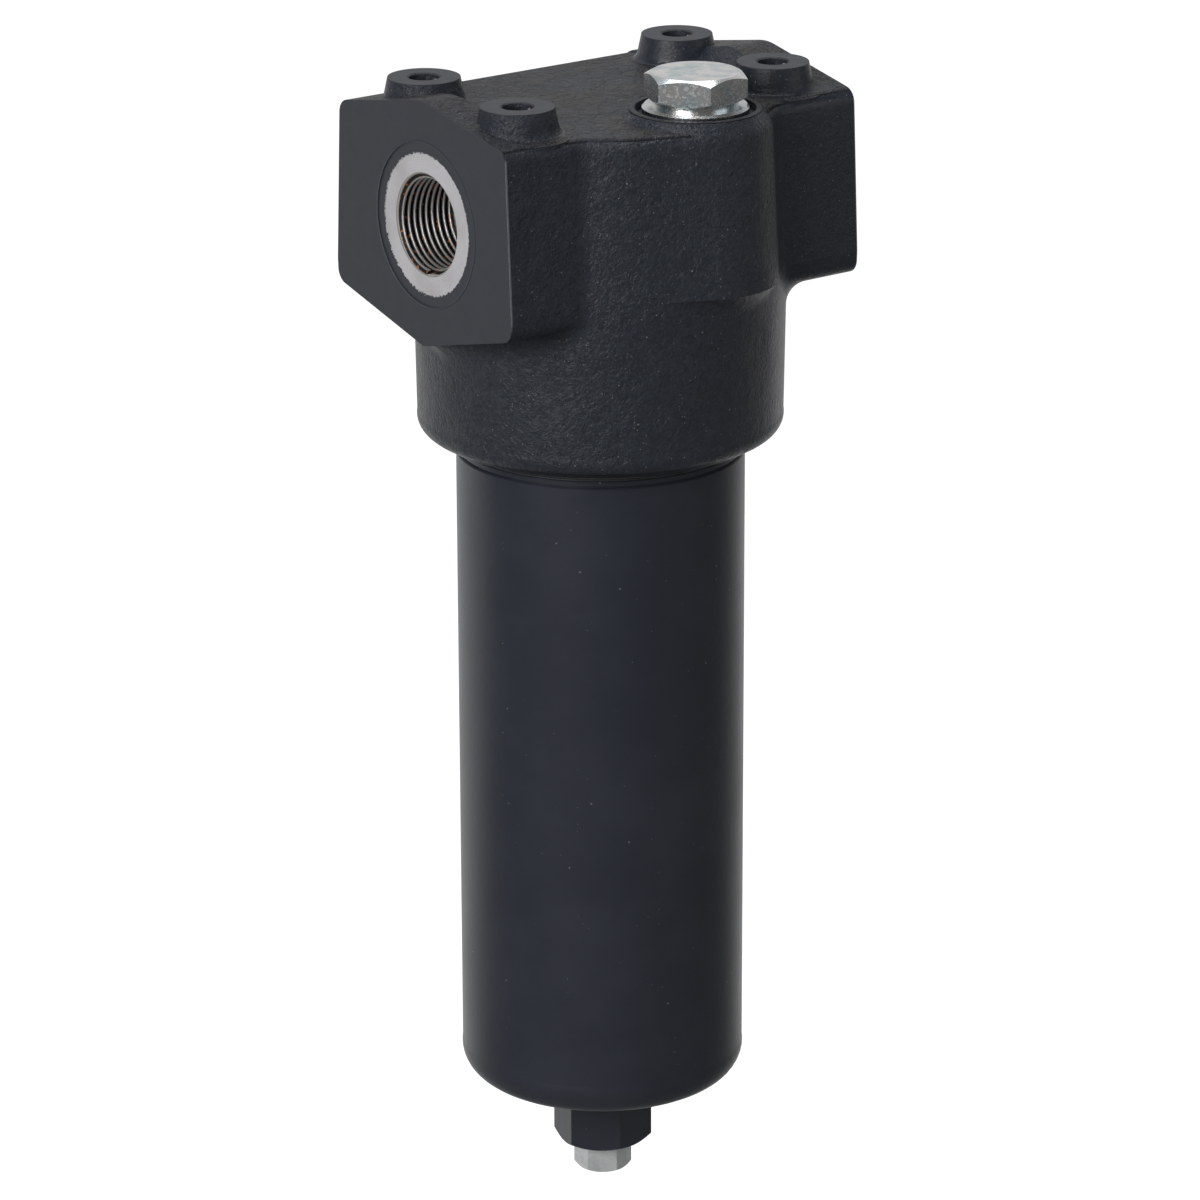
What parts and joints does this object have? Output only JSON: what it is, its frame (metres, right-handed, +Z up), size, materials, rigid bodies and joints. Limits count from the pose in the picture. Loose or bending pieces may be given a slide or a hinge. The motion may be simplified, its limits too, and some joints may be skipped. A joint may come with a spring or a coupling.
{
  "type": "hydraulic pressure filter",
  "caption": "In-line hydraulic pressure filter: cast head with two threaded ports on one axis, screwed-on steel bowl over a pleated element, bypass valve and drain plug",
  "frame": {"origin": "centre of the four machined mounting bosses, in their plane", "axes": "+X along the port axis towards the outlet, -Y towards the indicator port, +Z up, out of the mounting plane"},
  "size_m": [0.1419, 0.1304, 0.398],
  "materials": {
    "head_paint": "semi-matt charcoal paint over rough sand-cast iron, machined faces smoother",
    "bowl_paint": "semi-matt charcoal paint over smooth drawn steel",
    "zinc_plate": "bright zinc plate",
    "plain_steel": "matt grey machined steel",
    "element_steel": "satin tinned sheet steel",
    "spring_steel": "dark oiled spring steel",
    "valve_brass": "turned brass",
    "filter_medium": "pale glass-fibre filter medium",
    "sleeve_plastic": "off-white moulded plastic",
    "black_rubber": "matt black nitrile rubber",
    "white_ptfe": "white low-friction plastic"
  },
  "bodies": {
    "head": {"filter_head": "head_paint", "element_top_cap": "element_steel", "element_o_ring": "black_rubber", "element_bottom_cap": "element_steel", "element_core": "element_steel", "element_pleats": "filter_medium", "element_outer_net": "sleeve_plastic", "bypass_valve_body": "plain_steel", "bypass_valve_seal": "black_rubber", "bypass_spring": "spring_steel", "bypass_spring_plate": "plain_steel", "bypass_circlip": "spring_steel"},
    "bowl_seals": {"bowl_o_ring": "black_rubber", "bowl_backup_ring": "white_ptfe"},
    "bowl": {"bowl": "bowl_paint"},
    "indicator_seal": {"indicator_plug_seal": "black_rubber"},
    "indicator_plug": {"indicator_plug": "zinc_plate"},
    "drain_seal": {"drain_plug_seal": "black_rubber"},
    "drain_plug": {"drain_plug": "plain_steel"},
    "poppet": {"bypass_poppet": "valve_brass"}
  },
  "joints": [
    {"name": "bowl_unscrew_travel", "type": "slide", "parent": "head", "child": "bowl_seals", "axis": [0, 0, -1], "range_m": [0, 0.021]},
    {"name": "bowl_unscrew_turn", "type": "hinge", "parent": "bowl_seals", "child": "bowl", "pos_m": [0, 0, 0], "axis": [0, 0, -1], "range_deg": [0, 2520]},
    {"name": "indicator_unscrew_travel", "type": "slide", "parent": "head", "child": "indicator_seal", "axis": [0, 0, 1], "range_m": [0, 0.01179]},
    {"name": "indicator_unscrew_turn", "type": "hinge", "parent": "indicator_seal", "child": "indicator_plug", "pos_m": [0.0084, -0.0408, 0], "axis": [0, 0, 1], "range_deg": [0, 2340]},
    {"name": "drain_unscrew_travel", "type": "slide", "parent": "bowl", "child": "drain_seal", "axis": [0, 0, -1], "range_m": [0, 0.00936]},
    {"name": "drain_unscrew_turn", "type": "hinge", "parent": "drain_seal", "child": "drain_plug", "pos_m": [0, 0, 0], "axis": [0, 0, -1], "range_deg": [0, 2520]},
    {"name": "bypass_lift", "type": "slide", "parent": "head", "child": "poppet", "axis": [0, 0, 1], "range_m": [0, 0.0035], "stiffness_N_per_m": 2000, "springref_m": -0.01, "deforming": ["bypass_spring"]}
  ],
  "couplings": [
    {"joint": "bowl_unscrew_turn", "follows": "bowl_unscrew_travel", "rad_per_m": 2094.4},
    {"joint": "indicator_unscrew_turn", "follows": "indicator_unscrew_travel", "rad_per_m": 3463.7},
    {"joint": "drain_unscrew_turn", "follows": "drain_unscrew_travel", "rad_per_m": 4699.5}
  ]
}
